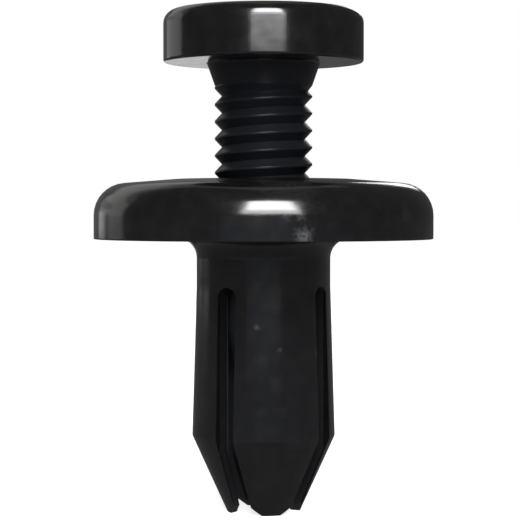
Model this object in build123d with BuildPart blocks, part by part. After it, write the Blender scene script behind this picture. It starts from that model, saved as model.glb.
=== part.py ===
from build123d import *
from math import cos, radians, sin, tan
import os

# Two-piece plastic screw rivet for an 8 mm panel hole, in millimetres.
# The origin is the centre of the flange's seat, the face that meets the panel. +Z runs up to the
# screw's head and the legs point down. The screw is backed out, with its head raised off the flange.

# Flange of the sleeve
flange_diameter = 20.0
rim_height = 1.4  # straight wall of the rim, above the seat
shoulder_radius = 1.9  # round between the rim and the crown
crown_angle = 4.5  # degrees, fall of the crown from the land to the shoulder
land_diameter = 10.4  # flat ring that the driven head rests on

# Collar and legs of the sleeve
collar_diameter = 7.9
collar_foot_chamfer = 1.1
collar_length = 2.75  # from the seat down to the tops of the slots
leg_shoulder_diameter = 8.44
leg_shoulder_depth = 11.58
nose_tip_diameter = 4.3
sleeve_depth = 16.1
slot_count = 4
slot_width = 1.2
leg_tip_chamfer = 0.5

# Thread, neck and shank of the screw
thread_diameter = 5.75
root_diameter = 4.9
shank_diameter = 4.8
thread_pitch = 1.0
thread_crest = 0.16  # width of the flat top between two turns of the groove
thread_length = 6.6  # from the neck's foot down to where the crests end
thread_lead = 0.8  # length over which the crests rise from the shank
neck_diameter = 6.7
neck_length = 1.35
runout_length = 0.6  # cone from the neck's foot in to the shank
point_length = 3.1
point_setback = 0.8  # the driven screw's tip stays this far inside the legs' tips
point_side_gap = 0.3  # between the tip of the point and the hole in the nose

# Head of the screw
head_diameter = 11.8
head_thickness = 3.08
head_top_radius = 0.8
head_foot_chamfer = 0.15
recess_span = 4.6  # across two opposite wings of the cross
recess_wing_width = 1.15
recess_depth = 2.3
recess_side_angle = 26.5  # degrees, how far the wings' ends lean in
recess_floor_angle = 28.0  # degrees, slope of the cross's pointed floor

# Clearances and travel
thread_clearance = 0.08  # between the thread's crests and the bore
neck_clearance = 0.15  # between the neck and the mouth of the bore
raised_gap = 6.85  # under the head as the screw stands backed out
driven_gap = 0.05  # under the head when the screw is driven home
nose_bore_length = 3.9  # cone inside the legs' tips
nose_wall = 0.55  # wall at the legs' tips

flange_radius = flange_diameter / 2
collar_radius = collar_diameter / 2
leg_radius = leg_shoulder_diameter / 2
nose_tip_radius = nose_tip_diameter / 2
thread_radius = thread_diameter / 2
root_radius = root_diameter / 2
shank_radius = shank_diameter / 2
neck_radius = neck_diameter / 2
head_radius = head_diameter / 2
bore_radius = thread_radius + thread_clearance
nose_hole_radius = nose_tip_radius - nose_wall
mouth_radius = neck_radius + neck_clearance

# The shoulder's arc starts where it is tangent to the crown and ends at the rim's wall.
fall = radians(crown_angle)
shoulder_start = (
    flange_radius - shoulder_radius + shoulder_radius * sin(fall),
    rim_height + shoulder_radius * cos(fall),
)
land_height = shoulder_start[1] + (shoulder_start[0] - land_diameter / 2) * tan(fall)

# Heights along the backed-out screw
travel = raised_gap - driven_gap
head_seat = land_height + raised_gap
head_top = head_seat + head_thickness
neck_foot = head_seat - neck_length
runout_foot = neck_foot - runout_length
thread_end = neck_foot - thread_length
screw_tip = travel - sleeve_depth + point_setback
point_start = screw_tip + point_length

# The mouth of the bore has the neck's own slope.
neck_slope = (neck_radius - thread_radius) / neck_length
mouth_depth = (mouth_radius - bore_radius) / neck_slope


# Slot between two legs, cut outwards from the axis along +X, with a round top
with BuildPart() as slot_cut:
    with BuildSketch(Plane.YZ):
        with Locations((0, -collar_length - slot_width / 2)):
            Circle(slot_width / 2)
            Rectangle(slot_width, sleeve_depth, align=(Align.CENTER, Align.MAX))
    extrude(amount=leg_radius + slot_width)

# Sleeve: flange, collar and legs are one moulding
with BuildPart() as sleeve:
    with BuildSketch(Plane.XZ):
        with BuildLine():
            Line((mouth_radius, land_height), (land_diameter / 2, land_height))
            Line((land_diameter / 2, land_height), shoulder_start)
            TangentArc(shoulder_start, (flange_radius, rim_height), tangent=(cos(fall), -sin(fall)))
            Polyline(
                (flange_radius, rim_height),
                (flange_radius, 0),
                (collar_radius + collar_foot_chamfer, 0),
                (collar_radius, -collar_foot_chamfer),
                (collar_radius, -collar_length),
                (leg_radius, -leg_shoulder_depth),
                (nose_tip_radius, -sleeve_depth),
                (nose_hole_radius, -sleeve_depth),
                (bore_radius, nose_bore_length - sleeve_depth),
                (bore_radius, land_height - mouth_depth),
                (mouth_radius, land_height),
            )
        make_face()
    revolve(axis=Axis.Z)
    with PolarLocations(0, slot_count, start_angle=180 / slot_count):
        add(slot_cut.part, mode=Mode.SUBTRACT)
    tip_corners = sleeve.edges().filter_by(GeomType.LINE).group_by(Axis.Z)[0]
    chamfer(tip_corners, leg_tip_chamfer)

# Cross recess: a cross of straight wings, limited by a cone with a pointed floor
recess_radius = recess_span / 2
recess_floor_radius = recess_radius - recess_depth * tan(radians(recess_side_angle))
recess_point_depth = recess_depth + recess_floor_radius * tan(radians(recess_floor_angle))
with BuildPart() as cross_recess:
    with BuildSketch(Plane.XY.offset(head_top)):
        Rectangle(recess_span, recess_wing_width)
        Rectangle(recess_wing_width, recess_span)
    extrude(amount=-recess_point_depth)
    with BuildSketch(Plane.XZ):
        with BuildLine():
            Polyline(
                (0, head_top),
                (recess_radius, head_top),
                (recess_floor_radius, head_top - recess_depth),
                (0, head_top - recess_point_depth),
                close=True,
            )
        make_face()
    revolve(axis=Axis.Z, mode=Mode.INTERSECT)

# Thread groove: a right-hand V, swept from below the first crest to above the last
groove_half_width = (thread_pitch - thread_crest) / 2
groove_slope = groove_half_width / (thread_radius - root_radius)
groove_reach = thread_crest / 4  # how far the cutter stands out of the crests
cutter_half_width = groove_half_width + groove_reach * groove_slope
groove_start = thread_end - thread_pitch / 2
with BuildPart() as thread_groove:
    with BuildLine() as groove_path:
        Helix(
            pitch=thread_pitch,
            height=thread_length + thread_pitch,
            radius=thread_radius,
            center=(0, 0, groove_start),
        )
    with BuildSketch(Plane.XZ):
        with BuildLine():
            Polyline(
                (root_radius, groove_start),
                (thread_radius + groove_reach, groove_start - cutter_half_width),
                (thread_radius + groove_reach, groove_start + cutter_half_width),
                close=True,
            )
        make_face()
    sweep(path=groove_path.line, is_frenet=True)

# Screw: head, neck, threaded shank and blunt point are one moulding
with BuildPart() as screw:
    with BuildSketch(Plane.XZ):
        with BuildLine():
            Polyline(
                (0, neck_foot),
                (thread_radius, neck_foot),
                (thread_radius, thread_end + thread_lead),
                (shank_radius, thread_end),
                (shank_radius, point_start),
                (nose_hole_radius - point_side_gap, screw_tip),
                (0, screw_tip),
                close=True,
            )
        make_face()
    revolve(axis=Axis.Z)
    add(thread_groove.part, mode=Mode.SUBTRACT)
    with BuildSketch(Plane.XZ):
        with BuildLine():
            Polyline(
                (0, head_top),
                (head_radius, head_top),
                (head_radius, head_seat),
                (neck_radius, head_seat),
                (thread_radius, neck_foot),
                (shank_radius, runout_foot),
                (0, runout_foot),
                close=True,
            )
        make_face()
    revolve(axis=Axis.Z)
    fillet(screw.edges().group_by(Axis.Z)[-1], head_top_radius)
    seat_rings = screw.edges().filter_by_position(Axis.Z, head_seat, head_seat)
    chamfer(seat_rings.sort_by(SortBy.RADIUS)[-1], head_foot_chamfer)
    add(cross_recess.part, mode=Mode.SUBTRACT)

sleeve.part.label = "sleeve"
screw.part.label = "screw"

os.makedirs("parts", exist_ok=True)
export_step(sleeve.part, "parts/sleeve.step")
export_step(screw.part, "parts/screw.step")
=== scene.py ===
from math import asin, atan2, ceil, cos, degrees, hypot, pi, radians, sin, tan

import bmesh
import bpy
from mathutils import Matrix, Vector


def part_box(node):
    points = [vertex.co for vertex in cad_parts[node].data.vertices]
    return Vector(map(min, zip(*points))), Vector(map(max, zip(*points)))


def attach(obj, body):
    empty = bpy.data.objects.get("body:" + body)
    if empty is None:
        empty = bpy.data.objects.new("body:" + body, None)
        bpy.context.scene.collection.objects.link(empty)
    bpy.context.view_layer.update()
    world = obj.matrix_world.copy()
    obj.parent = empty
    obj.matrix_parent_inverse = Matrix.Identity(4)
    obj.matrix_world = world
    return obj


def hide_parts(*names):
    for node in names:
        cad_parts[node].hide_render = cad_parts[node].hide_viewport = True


# A two-piece screw rivet of gloss black plastic, standing on its legs with the screw backed out.
# Shapes are worked out in millimetres and scaled to metres when a piece is finished.
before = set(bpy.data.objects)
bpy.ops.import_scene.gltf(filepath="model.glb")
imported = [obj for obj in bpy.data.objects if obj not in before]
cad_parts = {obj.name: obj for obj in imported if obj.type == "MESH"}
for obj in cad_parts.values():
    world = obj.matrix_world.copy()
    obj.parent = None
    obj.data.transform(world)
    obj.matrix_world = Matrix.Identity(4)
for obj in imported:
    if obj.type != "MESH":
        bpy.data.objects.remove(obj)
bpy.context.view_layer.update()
mm = 0.001

sleeveLow, sleeveHigh = (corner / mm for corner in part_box("sleeve"))
screwLow, screwHigh = (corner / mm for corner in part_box("screw"))
spinSteps = 224
arcStep = radians(11)  # largest turn between two points of a rounding
holdDistance = 0.04  # from the end of a rounding to the point that holds the flat beside it
sharpAngle = radians(35)  # edges that turn more than this stay sharp
flatArea = 0.25  # faces larger than this get a border when the edges beside them are broken
flatBorder = 0.03
seamDistance = 0.0001  # points closer than this are one point where a spun shape closes
mergeDistance = 0.001  # and the same for a thread or a shape that was cut
planeDistance = 0.00001  # points this close to a cutting plane lie on it


# An outline's corners are (distance from the axis, height, rounding radius). Points just outside
# each rounding keep the flats beside it flat when they are shaded smooth.
def roundedOutline(corners):
    points = []
    for i, (across, up, rounding) in enumerate(corners):
        corner = Vector((across, up))
        if rounding == 0:
            points.append(corner)
            continue
        back = (Vector(corners[i - 1][:2]) - corner).normalized()
        onward = (Vector(corners[(i + 1) % len(corners)][:2]) - corner).normalized()
        halfAngle = back.angle(onward) / 2
        centre = corner + (back + onward).normalized() * rounding / sin(halfAngle)
        arm = corner + back * rounding / tan(halfAngle) - centre
        side = 1 if back.cross(onward) < 0 else -1
        turn = side * (pi - 2 * halfAngle)
        steps = max(2, ceil(abs(turn) / arcStep))
        arc = [centre + Matrix.Rotation(turn * k / steps, 2) @ arm for k in range(steps + 1)]
        points += [arc[0] + back * holdDistance] + arc + [arc[-1] + onward * holdDistance]
    return points


# Long straight runs are divided, so that a cut through them leaves only small faces uneven.
def divided(points, longest, closed):
    ends = points[1:] + points[:1] if closed else points[1:]
    result = []
    for start, end in zip(points, ends):
        parts = ceil((end - start).length / longest)
        result += [start.lerp(end, k / parts) for k in range(parts)]
    return result if closed else result + points[-1:]


# Stands an outline beside the axis, ready to be spun.
def addChain(bm, outline, closed):
    verts = [bm.verts.new((point.x, 0, point.y)) for point in outline]
    ends = zip(verts, verts[1:] + verts[:1] if closed else verts[1:])
    return verts + [bm.edges.new(pair) for pair in ends]


# Spins a closed outline round the axis. No run of it stays longer than the longest length.
def revolved(corners, longest=20):
    bm = bmesh.new()
    chain = addChain(bm, divided(roundedOutline(corners), longest, True), True)
    bmesh.ops.spin(
        bm, geom=chain, cent=(0, 0, 0), axis=(0, 0, 1), angle=2 * pi, steps=spinSteps, use_merge=True,
    )
    return closedMesh(bm)


# Merges the seams and the poles, and turns every face outwards.
def closedMesh(bm):
    bmesh.ops.remove_doubles(bm, verts=bm.verts, dist=seamDistance)
    bmesh.ops.recalc_face_normals(bm, faces=bm.faces)
    mesh = bpy.data.meshes.new("shape")
    bm.to_mesh(mesh)
    bm.free()
    return mesh


# Cuts a body with a tool, or keeps what they share.
def combined(body, tool, operation):
    objects = [bpy.data.objects.new("shape", mesh) for mesh in (body, tool)]
    for item in objects:
        bpy.context.scene.collection.objects.link(item)
    modifier = objects[0].modifiers.new("combine", "BOOLEAN")
    modifier.operation = operation
    modifier.solver = "EXACT"
    modifier.object = objects[1]
    depsgraph = bpy.context.evaluated_depsgraph_get()
    result = bpy.data.meshes.new_from_object(objects[0].evaluated_get(depsgraph))
    for item in objects:
        bpy.data.objects.remove(item)
    return result


# Breaks the edges that a cut left sharp, between two heights, and gives the mesh its shading. The
# large faces between them get a narrow border, so that they stay flat when they are shaded smooth.
def softened(mesh, width, lowest, highest):
    bm = bmesh.new()
    bm.from_mesh(mesh)
    bmesh.ops.remove_doubles(bm, verts=bm.verts, dist=mergeDistance)
    bmesh.ops.dissolve_degenerate(bm, edges=bm.edges, dist=mergeDistance)
    sharp = [
        edge
        for edge in bm.edges
        if edge.is_manifold
        and edge.calc_face_angle() > sharpAngle
        and all(lowest < vert.co.z < highest for vert in edge.verts)
    ]
    bmesh.ops.bevel(
        bm, geom=sharp, offset=width, segments=2, profile=0.5, affect="EDGES", clamp_overlap=True,
        material=-1,
    )
    large = [
        face
        for face in bm.faces
        if face.calc_area() > flatArea and all(lowest < vert.co.z < highest for vert in face.verts)
    ]
    bmesh.ops.inset_individual(bm, faces=large, thickness=flatBorder, use_even_offset=True)
    for edge in bm.edges:
        edge.smooth = edge.is_manifold and edge.calc_face_angle() < sharpAngle
    for face in bm.faces:
        face.smooth = True
    bm.transform(Matrix.Scale(mm, 4))
    bm.to_mesh(mesh)
    bm.free()
    return mesh


# A finished piece rides on the body of its own name, and replaces the CAD node of that name.
def finishedPiece(name, mesh, material):
    piece = bpy.data.objects.new(name, mesh)
    mesh.materials.clear()
    mesh.materials.append(material)
    bpy.context.scene.collection.objects.link(piece)
    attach(piece, name)
    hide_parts(name)
    print("made", name, len(mesh.polygons), "faces")


# The sleeve: flange, collar and four legs.
sleeveShape = {
    "crownFall": radians(4.5),
    "landRadius": 5.2,
    "landRounding": 0.5,
    "shoulderRounding": 1.9,
    "rimFootRounding": 0.05,
    "collarRadius": 3.95,
    "collarFillet": 1.1,
    "collarLength": 2.75,
    "legRadius": 4.22,
    "legShoulderDepth": 11.58,
    "legShoulderRounding": 0.3,
    "tipRadius": 2.15,
    "tipHoleRadius": 1.6,
    "tipRounding": 0.06,
    "noseBoreLength": 3.9,
    "boreRadius": 2.955,
    "boreRounding": 0.3,
    "mouthRadius": 3.5,
    "mouthDepth": 1.543,
    "mouthRounding": 0.2,
    "slotWidth": 1.2,
    "slotTopFlat": 0.1,
    "slotStart": 1.0,
    "tipChamfer": 0.5,
    "tipChamferRounding": 0.08,
    "slotEdgeRounding": 0.06,
    "tipMargin": 0.02,
    "slotMargin": 1.0,
    "rowHeight": 0.4,
}


# The four slots are cut from inside the bore outwards, and flare where they leave the tips.
def slotCutters(shape):
    halfWidth, flare, tip = shape["slotWidth"] / 2, shape["tipChamfer"], sleeveLow.z
    slotTop, slotRounding = -shape["collarLength"], halfWidth - shape["slotTopFlat"] / 2
    outline = roundedOutline([
        (-halfWidth, slotTop, slotRounding),
        (halfWidth, slotTop, slotRounding),
        (halfWidth, tip + flare, shape["tipChamferRounding"]),
        (halfWidth + 2 * flare, tip - flare, 0),
        (-halfWidth - 2 * flare, tip - flare, 0),
        (-halfWidth, tip + flare, shape["tipChamferRounding"]),
    ])
    bm = bmesh.new()
    face = bm.faces.new([bm.verts.new((shape["slotStart"], point.x, point.y)) for point in outline])
    sides = bmesh.ops.extrude_face_region(bm, geom=[face])["geom"]
    moved = [item for item in sides if isinstance(item, bmesh.types.BMVert)]
    bmesh.ops.translate(bm, verts=moved, vec=(2 * shape["legRadius"], 0, 0))
    bmesh.ops.rotate(bm, verts=bm.verts, matrix=Matrix.Rotation(pi / 4, 3, "Z"))
    first = bm.verts[:] + bm.edges[:] + bm.faces[:]
    for quarter in (1, 2, 3):
        copy = bmesh.ops.duplicate(bm, geom=first)["geom"]
        verts = [item for item in copy if isinstance(item, bmesh.types.BMVert)]
        bmesh.ops.rotate(bm, verts=verts, matrix=Matrix.Rotation(quarter * pi / 2, 3, "Z"))
    return closedMesh(bm)


def makeSleeve(shape, material):
    land, rim, tip = sleeveHigh.z, sleeveHigh.x, sleeveLow.z
    crownEdge = land - (rim - shape["landRadius"]) * tan(shape["crownFall"])
    body = revolved([
        (shape["mouthRadius"], land, shape["mouthRounding"]),
        (shape["landRadius"], land, shape["landRounding"]),
        (rim, crownEdge, shape["shoulderRounding"]),
        (rim, 0, shape["rimFootRounding"]),
        (shape["collarRadius"], 0, shape["collarFillet"]),
        (shape["collarRadius"], -shape["collarLength"], 0),
        (shape["legRadius"], -shape["legShoulderDepth"], shape["legShoulderRounding"]),
        (shape["tipRadius"], tip, shape["tipRounding"]),
        (shape["tipHoleRadius"], tip, shape["tipRounding"]),
        (shape["boreRadius"], tip + shape["noseBoreLength"], shape["boreRounding"]),
        (shape["boreRadius"], land - shape["mouthDepth"], shape["boreRounding"]),
    ], shape["rowHeight"])
    cut = combined(body, slotCutters(shape), "DIFFERENCE")

    # The slots' edges are broken from just above the tips up to their round tops.
    lowest, highest = tip + shape["tipMargin"], -shape["collarLength"] + shape["slotMargin"]
    finishedPiece("sleeve", softened(cut, shape["slotEdgeRounding"], lowest, highest), material)


# The screw: head with a cross recess, neck, thread, shank and blunt point.
screwShape = {
    "headThickness": 3.08,
    "headTopRounding": 0.8,
    "headFootRounding": 0.16,
    "neckRadius": 3.35,
    "neckLength": 1.35,
    "neckFillet": 0.12,
    "threadRadius": 2.875,
    "rootRadius": 2.45,
    "pitch": 1.0,
    "crestWidth": 0.1,
    "crestRounding": 0.04,
    "flankStep": 0.11,
    "jointLength": 0.05,
    "threadLength": 6.6,
    "threadLead": 0.8,
    "runoutLength": 0.6,
    "shankRadius": 2.4,
    "pointLength": 3.1,
    "pointRounding": 0.5,
    "tipRadius": 1.3,
    "tipRounding": 0.15,
    "recessSpan": 4.6,
    "recessWing": 1.15,
    "recessDepth": 2.3,
    "recessSideAngle": radians(26.5),
    "recessFloorAngle": radians(28),
    "recessRounding": 0.08,
    "recessMargin": 0.6,
    "coneOvershoot": 0.3,
    "wingOvershoot": 1.0,
    "headMargin": 0.2,
    "turnSteps": 112,
    "spareTurns": 3,
}


# The recess is a cross of straight wings, limited by a cone with a pointed floor. The cone stands
# a little out of the head, and the wings stand past the cone at every end.
def crossTool(shape, top):
    half, wing = shape["recessSpan"] / 2, shape["recessWing"] / 2
    floorRadius = half - shape["recessDepth"] * tan(shape["recessSideAngle"])
    pointDepth = shape["recessDepth"] + floorRadius * tan(shape["recessFloorAngle"])
    coneTop = top + shape["coneOvershoot"]
    cone = revolved([
        (0, coneTop, 0),
        (half + shape["coneOvershoot"] * tan(shape["recessSideAngle"]), coneTop, 0),
        (floorRadius, top - shape["recessDepth"], 0),
        (0, top - pointDepth, 0),
    ])
    past = shape["wingOvershoot"]
    quarter = [(half + past, -wing), (half + past, wing), (wing, wing)]
    corners = []
    for turn in range(4):
        corners += [Matrix.Rotation(turn * pi / 2, 2) @ Vector(point) for point in quarter]
    bm = bmesh.new()
    face = bm.faces.new([bm.verts.new((*corner, top + past)) for corner in corners])
    sides = bmesh.ops.extrude_face_region(bm, geom=[face])["geom"]
    moved = [item for item in sides if isinstance(item, bmesh.types.BMVert)]
    bmesh.ops.translate(bm, verts=moved, vec=(0, 0, -pointDepth - 2 * past))
    return combined(cone, closedMesh(bm), "INTERSECT")


# The open edges at one height.
def openRing(bm, height):
    return [
        edge
        for edge in bm.edges
        if edge.is_boundary and all(abs(vert.co.z - height) < mergeDistance for vert in edge.verts)
    ]


# Turns an outline into the plain round end of the screw. Its first ring is joined to the thread's
# open ring, and its last one is closed.
def addEnd(bm, threadRing, outline):
    chain = addChain(bm, outline, False)
    bmesh.ops.spin(
        bm, geom=chain, cent=(0, 0, 0), axis=(0, 0, 1), angle=2 * pi, steps=spinSteps, use_merge=True,
    )
    bmesh.ops.bridge_loops(bm, edges=openRing(bm, threadRing) + openRing(bm, outline[0].y))
    bmesh.ops.contextual_create(bm, geom=openRing(bm, outline[-1].y))


def makeScrew(shape, material):
    top, headRadius = screwHigh.z, screwHigh.x
    headSeat = top - shape["headThickness"]
    neckFoot = headSeat - shape["neckLength"]
    runoutFoot = neckFoot - shape["runoutLength"]
    threadEnd = neckFoot - shape["threadLength"]
    crest, root, shank = shape["threadRadius"], shape["rootRadius"], shape["shankRadius"]
    flat, pitch, joint = shape["crestWidth"] / 2, shape["pitch"], shape["jointLength"]

    # One pitch of the thread's section, from crest to crest, is wound up the shank. Its spare turns
    # lie below and above the thread, and are cut off further down.
    start = threadEnd - 2 * pitch
    bm = bmesh.new()
    outline = roundedOutline([
        (crest, start, 0),
        (crest, start + flat, shape["crestRounding"]),
        (root, start + pitch / 2, 0),
        (crest, start + pitch - flat, shape["crestRounding"]),
        (crest, start + pitch, 0),
    ])
    section = addChain(bm, divided(outline, shape["flankStep"], False), False)
    turns = ceil(shape["threadLength"] / pitch) + shape["spareTurns"]
    steps = turns * shape["turnSteps"]
    bmesh.ops.spin(
        bm, geom=section, cent=(0, 0, 0), axis=(0, 0, 1), dvec=(0, 0, turns * pitch / steps),
        angle=2 * pi * turns, steps=steps,
    )
    bmesh.ops.remove_doubles(bm, verts=bm.verts, dist=mergeDistance)

    # The crests rise from the shank at the lower end, and the grooves run out into the neck.
    for vert in bm.verts:
        reach = hypot(vert.co.x, vert.co.y)
        lead = min(max((vert.co.z - threadEnd) / shape["threadLead"], 0), 1)
        runout = min(max((vert.co.z - runoutFoot) / shape["runoutLength"], 0), 1)
        farthest, nearest = (shank + part * (crest - shank) for part in (lead, runout))
        vert.co.xy *= max(min(reach, farthest), nearest) / reach
    for height, above in ((threadEnd, False), (neckFoot, True)):
        bmesh.ops.bisect_plane(
            bm, geom=bm.verts[:] + bm.edges[:] + bm.faces[:], dist=planeDistance,
            plane_co=(0, 0, height), plane_no=(0, 0, 1), clear_outer=above, clear_inner=not above,
        )
    addEnd(bm, threadEnd, roundedOutline([
        (shank, threadEnd - joint, 0),
        (shank, screwLow.z + shape["pointLength"], shape["pointRounding"]),
        (shape["tipRadius"], screwLow.z, shape["tipRounding"]),
        (shape["tipRadius"] / 2, screwLow.z, 0),
    ]))
    neckSlope = (shape["neckRadius"] - crest) / shape["neckLength"]
    addEnd(bm, neckFoot, roundedOutline([
        (crest + joint * neckSlope, neckFoot + joint, 0),
        (shape["neckRadius"], headSeat, shape["neckFillet"]),
        (headRadius, headSeat, shape["headFootRounding"]),
        (headRadius, top, shape["headTopRounding"]),
        (shape["recessSpan"] / 2 + shape["recessMargin"], top, 0),
    ]))
    cut = combined(closedMesh(bm), crossTool(shape, top), "DIFFERENCE")

    # Only the head has cut edges, those of its recess.
    lowest, highest = headSeat - shape["headMargin"], top + shape["headMargin"]
    finishedPiece("screw", softened(cut, shape["recessRounding"], lowest, highest), material)


# A socket of a material or of the world. Sums with it add Math nodes.
class Wire:
    def __init__(self, paint, socket):
        self.paint = paint
        self.socket = socket

    def __add__(self, other):
        return self.paint.math("ADD", self, other)

    def __sub__(self, other):
        return self.paint.math("SUBTRACT", self, other)

    def __rsub__(self, other):
        return self.paint.math("SUBTRACT", other, self)

    def __mul__(self, other):
        return self.paint.math("MULTIPLY", self, other)

    __radd__ = __add__
    __rmul__ = __mul__


# The nodes of a material or of the world.
class Paint:
    def __init__(self, owner, shader):
        owner.use_nodes = True
        self.owner = owner
        self.nodes = owner.node_tree.nodes
        self.links = owner.node_tree.links
        self.surface = self.nodes[shader]
        self.shaded = Wire(self, self.surface.outputs[0])

    def put(self, socket, value):
        if isinstance(value, Wire):
            self.links.new(value.socket, socket)
        else:
            socket.default_value = value

    # The settings come first, because some of them decide which sockets a node has.
    def node(self, kind, settings, inputs, output=0):
        made = self.nodes.new("ShaderNode" + kind)
        for name, value in settings.items():
            setattr(made, name, value)
        for name, value in inputs.items():
            self.put(made.inputs[name], value)
        return Wire(self, made.outputs[output])

    def math(self, operation, first, second):
        return self.node("Math", {"operation": operation}, {0: first, 1: second})

    # 0 up to the first limit and 1 from the second limit on.
    def between(self, value, limits):
        first, second = limits
        return self.node("MapRange", {"clamp": True}, {0: value, 1: first, 2: second, 3: 0.0, 4: 1.0})

    # A Mix node has its colours in sockets 6 and 7, and gives one in output 2.
    def blend(self, factor, first, second):
        return self.node("Mix", {"data_type": "RGBA"}, {0: factor, 6: first, 7: second}, 2)

    def noise(self, place, pattern):
        inputs = {"Vector": place, "Scale": pattern["perMm"], "Detail": pattern["detail"]}
        return self.node("TexNoise", {}, inputs)

    def set(self, inputs):
        for name, value in inputs.items():
            self.put(self.surface.inputs[name], value)


def newPaint(name):
    return Paint(bpy.data.materials.new(name), "Principled BSDF")


# Gloss black with a few scratches and specks. Some marks on the sleeve are painted light instead:
# lighter spots for a reflection and for a highlight's smear. Places, radii, depths and heights are in
# millimetres. A mark is a ragged and flecked spot round its middle.
gloss = {
    "base": (0.0032, 0.0032, 0.0037, 1),
    "rubbed": (0.0055, 0.0055, 0.006, 1),
    "scratchAndPaintedLight": (0.1, 0.1, 0.105, 1),
    "roughness": 0.14,
    "rubbedRoughness": 0.04,
    "scratchedRoughness": 0.15,
    "specular": 0.9,
    "waves": {"perMm": 0.5, "detail": 2.0, "height": 0.02},
    "mottle": {"perMm": 1.1, "detail": 3.0, "height": 0.003},
    "grain": {"perMm": 5.0, "detail": 3.0, "height": 0.0012},
    "bumpStrength": 0.5,
    "rubbedMottle": (0.4, 0.75),
    "fleckedGrain": (0.42, 0.64),
    "leastFleck": 0.2,
    "markRaggedness": 3.2,
    "markCore": 0.3,
}

# The faces inside the slots and the bore are rougher than the skin of the collar and the legs. They are
# painted lighter, the bore most, as painted light that lifts the shade inside the slots.
sleeveLook = dict(
    gloss,
    inner=(0.0045, 0.0054, 0.007, 1),
    innerDepth=(0.08, 0.2),
    innerHeight=(-0.5, -1.5),
    innerRoughness=0.25,
    bore=(0.04, 0.043, 0.05, 1),
    boreDepth=(0.85, 0.98),
    marks=[
        {"middle": (0.02, -9.98, 0.3), "radius": 0.6, "strength": 0.9},
        # These two are partly a smudge and partly painted highlight: lighter spots that stand for the
        # highlight's smear.
        {"middle": (-0.92, -9.87, 1.42), "radius": 0.3, "strength": 0.5},
        {"middle": (-0.18, -9.98, 1.36), "radius": 0.3, "strength": 0.45},
        {"middle": (6.49, -7.6, 1.45), "radius": 0.55, "strength": 0.1},
        # Painted reflection: a broad lighter haze on the shoulder above the highlight.
        {"middle": (-0.47, -8.9, 3.2), "radius": 2.0, "strength": 0.16},
        {"middle": (-1.23, -3.82, -4.97), "radius": 0.23, "strength": 0.5},
        {"middle": (0.07, -4.06, -6.26), "radius": 0.17, "strength": 0.4},
        {"middle": (2.44, -3.25, -6.52), "radius": 0.21, "strength": 0.5},
        {"middle": (3.71, -1.82, -8.78), "radius": 0.19, "strength": 0.45},
    ],
)

# The neck and the thread are duller than the head, and what stays inside the sleeve more so. That part
# is also painted lighter, painted light that lifts the shade seen through the slots.
screwSeat = screwHigh.z - screwShape["headThickness"]
screwLook = dict(
    gloss,
    matte=(0.0065, 0.007, 0.0092, 1),
    matteHeight=(screwSeat, screwSeat - 0.15),
    matteRoughness=0.32,
    matteSpecular=0.22,
    hidden=(0.018, 0.02, 0.024, 1),
    hiddenHeight=(2.0, 0.5),
    hiddenRoughness=0.5,
    marks=[{"middle": (2.6, -5.3, 12.2), "radius": 0.2, "strength": 0.12}],
)


def blackPlastic(name, look):
    paint = newPaint(name)
    place = paint.node("TexCoord", {}, {}, "Object")
    toMm = {"Vector": place, "Scale": (1 / mm, 1 / mm, 1 / mm)}
    inMm = paint.node("Mapping", {"vector_type": "POINT"}, toMm)
    height = paint.node("SeparateXYZ", {}, {0: inMm}, 2)
    waves, mottle, grain = (paint.noise(inMm, look[kind]) for kind in ("waves", "mottle", "grain"))
    relief = waves * look["waves"]["height"] + mottle * look["mottle"]["height"]
    relief = relief + grain * look["grain"]["height"]
    bump = paint.node("Bump", {}, {"Height": relief, "Distance": mm, "Strength": look["bumpStrength"]})

    rubbed = paint.between(mottle, look["rubbedMottle"])
    flecks = paint.between(grain, look["fleckedGrain"]) * (1 - look["leastFleck"]) + look["leastFleck"]
    marksAndPaintedLight = 0
    for mark in look["marks"]:
        radius = mark["radius"]
        away = paint.node("VectorMath", {"operation": "DISTANCE"}, {0: inMm, 1: mark["middle"]}, "Value")
        ragged = away + (grain - 0.5) * look["markRaggedness"] * radius
        spot = paint.between(ragged, (radius, radius * look["markCore"]))
        # Some marks are painted light, not wear: their lighter colour stands for a reflection or a
        # highlight's smear.
        marksAndPaintedLight = spot * flecks * mark["strength"] + marksAndPaintedLight
    colour = paint.blend(marksAndPaintedLight, paint.blend(rubbed, look["base"], look["rubbed"]), look["scratchAndPaintedLight"])
    roughness = look["roughness"] + rubbed * look["rubbedRoughness"] + marksAndPaintedLight * look["scratchedRoughness"]

    # Painted light: the slot faces and the bore get a lighter colour, so the shade inside the slots is
    # lifted.
    if "inner" in look:
        depth = skinDepth(paint, inMm, height, sleeveShape)
        paintedLightWalls = paint.blend(paint.between(depth, look["boreDepth"]), look["inner"], look["bore"])
        inner = paint.between(depth, look["innerDepth"]) * paint.between(height, look["innerHeight"])
        colour = paint.blend(inner, colour, paintedLightWalls)
        roughness = roughness + inner * look["innerRoughness"]
    paint.set({
        "Base Color": colour,
        "Roughness": roughness,
        "Specular IOR Level": look["specular"],
        "Normal": bump,
    })

    if "matte" in look:
        # Painted light: the part inside the sleeve is painted lighter, lifting the shade seen through the
        # slots.
        hidden = paint.between(height, look["hiddenHeight"])
        matte = paint.node("BsdfPrincipled", {}, {
            "Base Color": paint.blend(hidden, look["matte"], look["hidden"]),
            "Roughness": hidden * look["hiddenRoughness"] + look["matteRoughness"],
            "Specular IOR Level": look["matteSpecular"],
            "Normal": bump,
        })
        isMatte = paint.between(height, look["matteHeight"])
        both = paint.node("MixShader", {}, {0: isMatte, 1: paint.shaded, 2: matte})
        paint.put(paint.nodes["Material Output"].inputs["Surface"], both)
    return paint.owner


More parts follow.
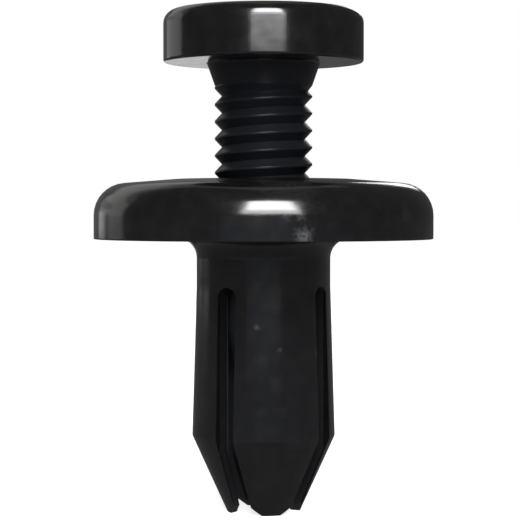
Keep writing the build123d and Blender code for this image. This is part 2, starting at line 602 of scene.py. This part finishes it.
# How far a point lies inside the skin of the collar and the nose. The nose narrows to the tips.
def skinDepth(paint, inMm, height, shape):
    noseLength = -sleeveLow.z - shape["legShoulderDepth"]
    noseSlope = (shape["legRadius"] - shape["tipRadius"]) / noseLength
    noseSkin = height * noseSlope + (shape["tipRadius"] - sleeveLow.z * noseSlope)
    level = paint.node("VectorMath", {"operation": "MULTIPLY"}, {0: inMm, 1: (1, 1, 0)})
    axisDistance = paint.node("VectorMath", {"operation": "LENGTH"}, {0: level}, "Value")
    return paint.math("MINIMUM", noseSkin, shape["collarRadius"]) - axisDistance


makeSleeve(sleeveShape, blackPlastic("sleeveBlack", sleeveLook))
makeScrew(screwShape, blackPlastic("screwBlack", screwLook))

# The camera looks from a little left of the -Y side, level with the flange. Its distance and its
# height are in millimetres, and its angles in degrees.
cameraPlace = {
    "azimuth": -12.5,
    "distance": 109.0,
    "eyeHeight": 1.83,
    "tilt": 1.615,
    "turn": 0.109,
    "focalPixels": 1845,
    "framePixels": 520,
}
azimuth = radians(cameraPlace["azimuth"])
toCamera = Vector((sin(azimuth), -cos(azimuth), 0))
toRight = Vector((cos(azimuth), sin(azimuth), 0))


def makeCamera(place):
    data = bpy.data.cameras.new("camera")
    data.sensor_width = 36
    data.lens = place["focalPixels"] / place["framePixels"] * data.sensor_width
    data.clip_start = 0.005
    data.clip_end = 20
    camera = bpy.data.objects.new("camera", data)
    camera.location = (toCamera * place["distance"] + Vector((0, 0, place["eyeHeight"]))) * mm
    camera.rotation_euler = (radians(90 - place["tilt"]), 0, azimuth + radians(place["turn"]))
    bpy.context.scene.collection.objects.link(camera)
    bpy.context.scene.camera = camera


makeCamera(cameraPlace)


# A direction seen from the rivet: degrees to the viewer's right of the camera, and degrees up.
def towards(side, up):
    level = toCamera * cos(radians(side)) + toRight * sin(radians(side))
    return level * cos(radians(up)) + Vector((0, 0, sin(radians(up))))


# Every lamp is an upright panel that faces the rivet's axis, at a distance in metres. It covers a
# stretch of sides and a stretch of heights, in degrees. At a brightness of 1 it looks as bright as
# the background.
def makeLamp(name, place):
    left, right = place["side"]
    middle, spread = (left + right) / 2, (right - left) / 2
    bottom, top = (place["distance"] * tan(radians(up)) for up in place["up"])
    data = bpy.data.lights.new(name, "AREA")
    data.shape = "RECTANGLE"
    data.size = 2 * place["distance"] * tan(radians(spread))
    data.size_y = top - bottom
    data.energy = place["brightness"] * pi * data.size * data.size_y
    lamp = bpy.data.objects.new(name, data)
    lamp.location = towards(middle, 0) * place["distance"] + Vector((0, 0, (bottom + top) / 2))
    lamp.rotation_euler = (-towards(middle, 0)).to_track_quat("-Z", "Y").to_euler()
    lamp.visible_camera = False
    bpy.context.scene.collection.objects.link(lamp)


lamps = {
    "softBox": {"side": (-12.5, 22.5), "up": (20, 50), "distance": 0.45, "brightness": 15},
    "softBoxSkirt": {"side": (-14, 24), "up": (10.4, 20), "distance": 0.15, "brightness": 7},
    "backRight": {"side": (164, 173), "up": (12, 24), "distance": 0.6, "brightness": 3.2},
}
for name, place in lamps.items():
    makeLamp(name, place)


# The set round the rivet, in metres.
def makeStage(name, bm, materials, height):
    mesh = bpy.data.meshes.new(name)
    bm.to_mesh(mesh)
    bm.free()
    for material in materials:
        mesh.materials.append(material)
    piece = bpy.data.objects.new(name, mesh)
    piece.location = (0, 0, height)
    bpy.context.scene.collection.objects.link(piece)
    return piece


# The pale floor is lifted to white where it is looked at, and keeps the rivet's shadow.
def makeFloor(glow):
    paint = newPaint("paleFloor")
    looked = paint.node("LightPath", {}, {}, "Is Camera Ray")
    paint.set({"Base Color": (0.8, 0.8, 0.8, 1), "Roughness": 0.9, "Specular IOR Level": 0.0})
    paint.set({"Emission Color": (1, 1, 1, 1), "Emission Strength": looked * glow})
    bm = bmesh.new()
    bmesh.ops.create_grid(bm, x_segments=1, y_segments=1, size=3)
    floor = makeStage("floor", bm, [paint.owner], sleeveLow.z * mm)
    floor.visible_glossy = False


makeFloor(glow=0.72)

# What the gloss mirrors: a dark room with a pale side behind on the left. Sides are degrees to the
# viewer's right of the camera, and the first zone that holds a direction gives its brightness. A
# slant lifts a zone's top by so much for each degree to the left of its right border.
room = [
    {"name": "rimFar", "side": (-180, -145), "up": (-1, 9), "glow": (0.15, 0.15, 0.15)},
    {"name": "rimStrip", "side": (-145, -133), "up": (-1, 4), "glow": (1.1, 1.1, 1.1)},
    {"name": "rimGap", "side": (-133, -126), "up": (-1, 4), "glow": (0.3, 0.3, 0.3)},
    {"name": "dimCorner", "side": (-180, -150), "up": (9, 23), "glow": (0.14, 0.14, 0.14)},
    {"name": "wedge", "side": (-150, -126), "up": (8, 16), "glow": (0.4, 0.4, 0.4)},
    {"name": "paleSide", "side": (-150, -108), "up": (-1, 20), "slant": 0.62, "glow": (0.63, 0.64, 0.61)},
    {"name": "paleBack", "side": (-180, -150), "up": (9, 46), "slant": -0.45, "glow": (0.55, 0.55, 0.55)},
    {"name": "fadeSide", "side": (-150, -108), "up": (-1, 30), "slant": 0.62, "glow": (0.26, 0.26, 0.26)},
    {"name": "fadeBack", "side": (-180, -150), "up": (9, 56), "slant": -0.45, "glow": (0.26, 0.26, 0.26)},
    {"name": "ceilingLeft", "side": (-181, -150), "up": (56, 91), "glow": (0.3, 0.29, 0.26)},
    {"name": "ceilingRight", "side": (150, 181), "up": (50, 91), "glow": (0.3, 0.29, 0.26)},
    {"name": "floorBehind", "side": (-180, -168), "up": (-12, -3), "glow": (1.0, 1.0, 1.0)},
    {"name": "dimPanel", "side": (-28, 28), "up": (-1, 3), "glow": (0.17, 0.2, 0.24)},
    {"name": "lowFront", "side": (-60, 60), "up": (-14, -4), "glow": (0.15, 0.16, 0.18)},
    {"name": "underLeft", "side": (-181, -160), "up": (-91, -14), "glow": (0.05, 0.05, 0.05)},
    {"name": "underRight", "side": (160, 181), "up": (-91, -14), "glow": (0.05, 0.05, 0.05)},
    {"name": "below", "side": (-181, 181), "up": (-91, -1), "glow": (0.115, 0.115, 0.12)},
    {"name": "dark", "side": (-181, 181), "up": (-91, 91), "glow": (0.07, 0.07, 0.07)},
]


def holds(zone, side, up):
    left, right = zone["side"]
    bottom, top = zone["up"]
    return left < side < right and bottom < up < top + zone.get("slant", 0) * (right - side)


def makeRoom(zones):
    materials = []
    for zone in zones:
        paint = newPaint(zone["name"])
        paint.set({"Base Color": (0, 0, 0, 1), "Specular IOR Level": 0.0})
        paint.set({"Emission Color": (*zone["glow"], 1), "Emission Strength": 1.0})
        materials.append(paint.owner)
    bm = bmesh.new()
    bmesh.ops.create_uvsphere(bm, u_segments=180, v_segments=180, radius=1.2)
    for face in bm.faces:
        centre = face.calc_center_median()
        side = degrees(atan2(centre.dot(toRight), centre.dot(toCamera)))
        up = degrees(asin(centre.z / centre.length))
        face.material_index = [holds(zone, side, up) for zone in zones].index(True)
    sphere = makeStage("room", bm, materials, 0)
    sphere.visible_camera = False
    sphere.visible_diffuse = False
    sphere.visible_shadow = False
    sphere.visible_transmission = False


makeRoom(room)


# The world is white where it is looked at or mirrored, and lights the rivet with a plain fill.
def makeWorld(fill):
    paint = Paint(bpy.data.worlds.new("studio"), "Background")
    looked = 0
    for kind in ("Camera", "Glossy", "Transmission"):
        looked = paint.math("MAXIMUM", paint.node("LightPath", {}, {}, f"Is {kind} Ray"), looked)
    paint.set({"Color": (1, 1, 1, 1), "Strength": looked * (1 - fill) + fill})
    bpy.context.scene.world = paint.owner


makeWorld(fill=0.35)
print("set up the camera,", len(lamps), "lamps, the floor and a room of", len(room), "zones")

bpy.context.scene.view_settings.view_transform = "Standard"
print("scene is ready")
